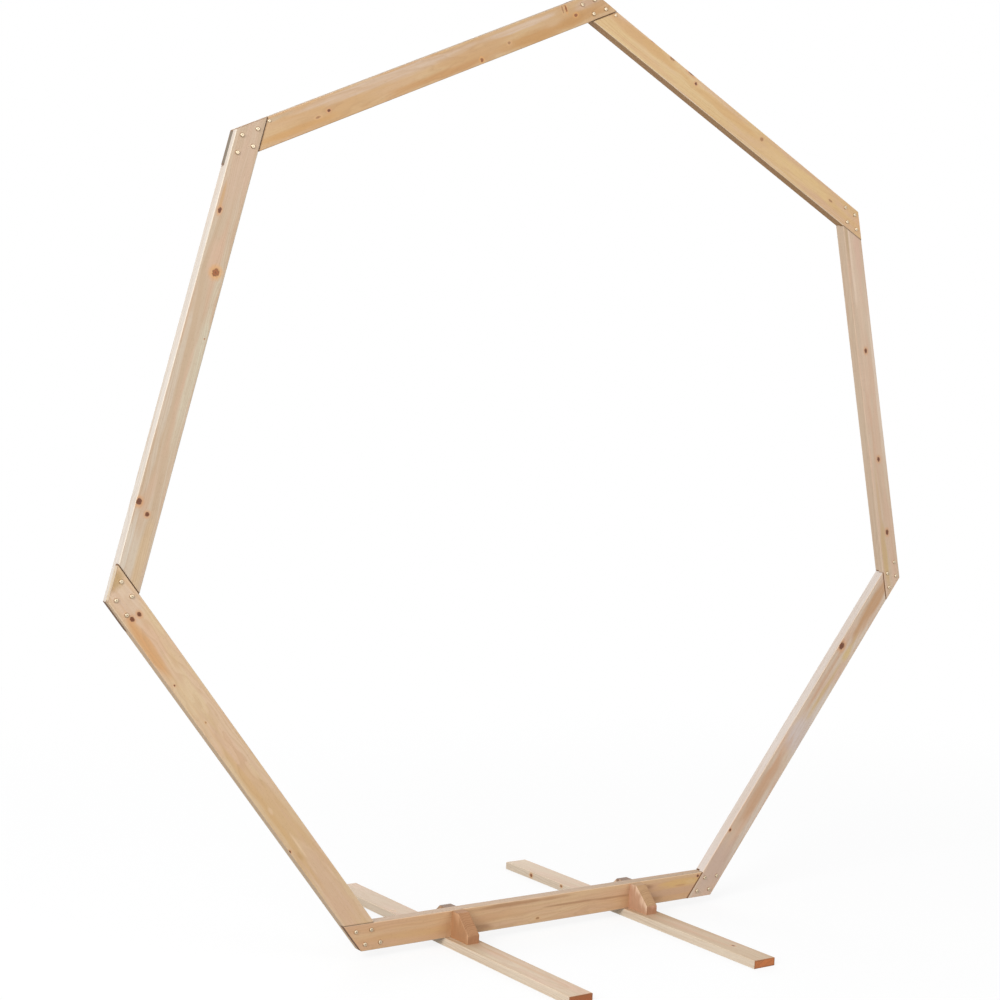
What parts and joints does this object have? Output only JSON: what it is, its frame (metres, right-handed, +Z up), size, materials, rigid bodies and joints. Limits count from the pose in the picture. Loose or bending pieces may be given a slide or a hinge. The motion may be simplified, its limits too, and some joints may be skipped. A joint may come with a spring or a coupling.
{
  "type": "wedding arch",
  "caption": "Heptagon-shaped wooden wedding arch of flat half-lapped rails, held upright on flat feet by mitred blocks in front and behind.",
  "frame": {"origin": "bottom centre of the bounding box: on the floor, midway between the feet, in the mid-plane of the rails", "axes": "+X along the bottom rail to the right as seen from the front, -Y to the front, +Z up to the apex"},
  "size_m": [2.238, 0.98, 2.2],
  "materials": {
    "rail_wood": "planed, matt clear finish",
    "foot_wood": "planed, matt clear finish",
    "block_wood": "planed, matt clear finish",
    "screw_zinc": "yellow zinc on the visible screws"
  },
  "bodies": {
    "root": {"bottom_rail": "rail_wood", "lower_left_rail": "rail_wood", "left_rail": "rail_wood", "upper_left_rail": "rail_wood", "upper_right_rail": "rail_wood", "right_rail": "rail_wood", "lower_right_rail": "rail_wood", "left_foot": "foot_wood", "right_foot": "foot_wood", "left_front_block": "block_wood", "left_rear_block": "block_wood", "right_front_block": "block_wood", "right_rear_block": "block_wood"}
  },
  "joints": []
}
